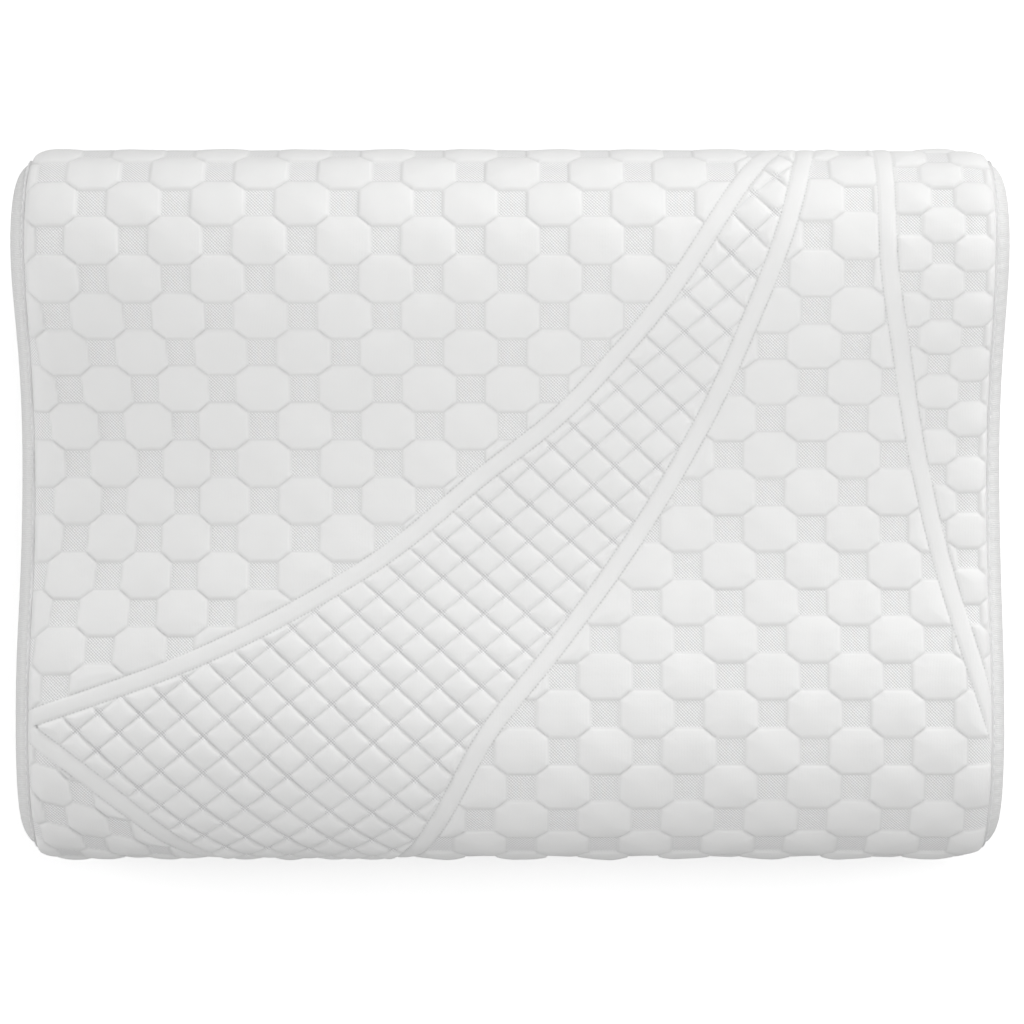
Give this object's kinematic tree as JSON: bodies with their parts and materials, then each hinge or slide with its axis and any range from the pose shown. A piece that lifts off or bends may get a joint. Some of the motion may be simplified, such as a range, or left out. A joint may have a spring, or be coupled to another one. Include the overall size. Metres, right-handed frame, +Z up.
{
  "type": "bed pillow",
  "caption": "Contour bed pillow with a high and a low lobe, a foam core in a liner, and a quilted knit cover that zips off along the back.",
  "frame": {"origin": "middle of the bounding box's underside, on the surface the pillow lies on", "axes": "+X along the pillow, +Y towards the high back lobe and the zip, +Z up"},
  "size_m": [0.6, 0.43, 0.122],
  "materials": {
    "foam": "open-cell foam, matt",
    "liner_knit": "thin stockinette, matt",
    "quilted_knit": "jacquard knit, soft sheen",
    "wadding": "lofted fibre, matt",
    "scrim": "non-woven, matt",
    "plain_knit": "plain knit, matt",
    "welt": "folded knit, matt",
    "zip_tape": "woven tape, matt",
    "zip_coil": "semi-gloss nylon",
    "zip_metal": "white enamel",
    "label": "satin ribbon"
  },
  "bodies": {
    "pillow": {"foam_core": "foam", "inner_liner": "liner_knit", "cover_top_face": "quilted_knit", "cover_bottom_face": "quilted_knit", "cover_top_wadding": "wadding", "cover_bottom_wadding": "wadding", "cover_top_backing": "scrim", "cover_bottom_backing": "scrim", "end_panel_left": "plain_knit", "end_panel_right": "plain_knit", "seam_welt_left": "welt", "seam_welt_right": "welt", "zip_tape_upper": "zip_tape", "zip_tape_lower": "zip_tape", "zip_coil_upper": "zip_coil", "zip_coil_lower": "zip_coil", "zip_top_stops": "zip_metal", "zip_bottom_stop": "zip_metal", "care_label": "label"},
    "zip_slider": {"zip_slider": "zip_metal"},
    "zip_pull_tab": {"zip_pull_tab": "zip_metal"}
  },
  "joints": [
    {"name": "zip_slide", "type": "slide", "parent": "pillow", "child": "zip_slider", "axis": [-1, 0, 0], "range_m": [0, 0.48], "deforming": ["zip_coil_upper", "zip_coil_lower"]},
    {"name": "pull_tab_swing", "type": "hinge", "parent": "zip_slider", "child": "zip_pull_tab", "pos_m": [0.2392, 0.21295, 0.041], "axis": [0, 0, -1], "range_deg": [0, 170]}
  ]
}
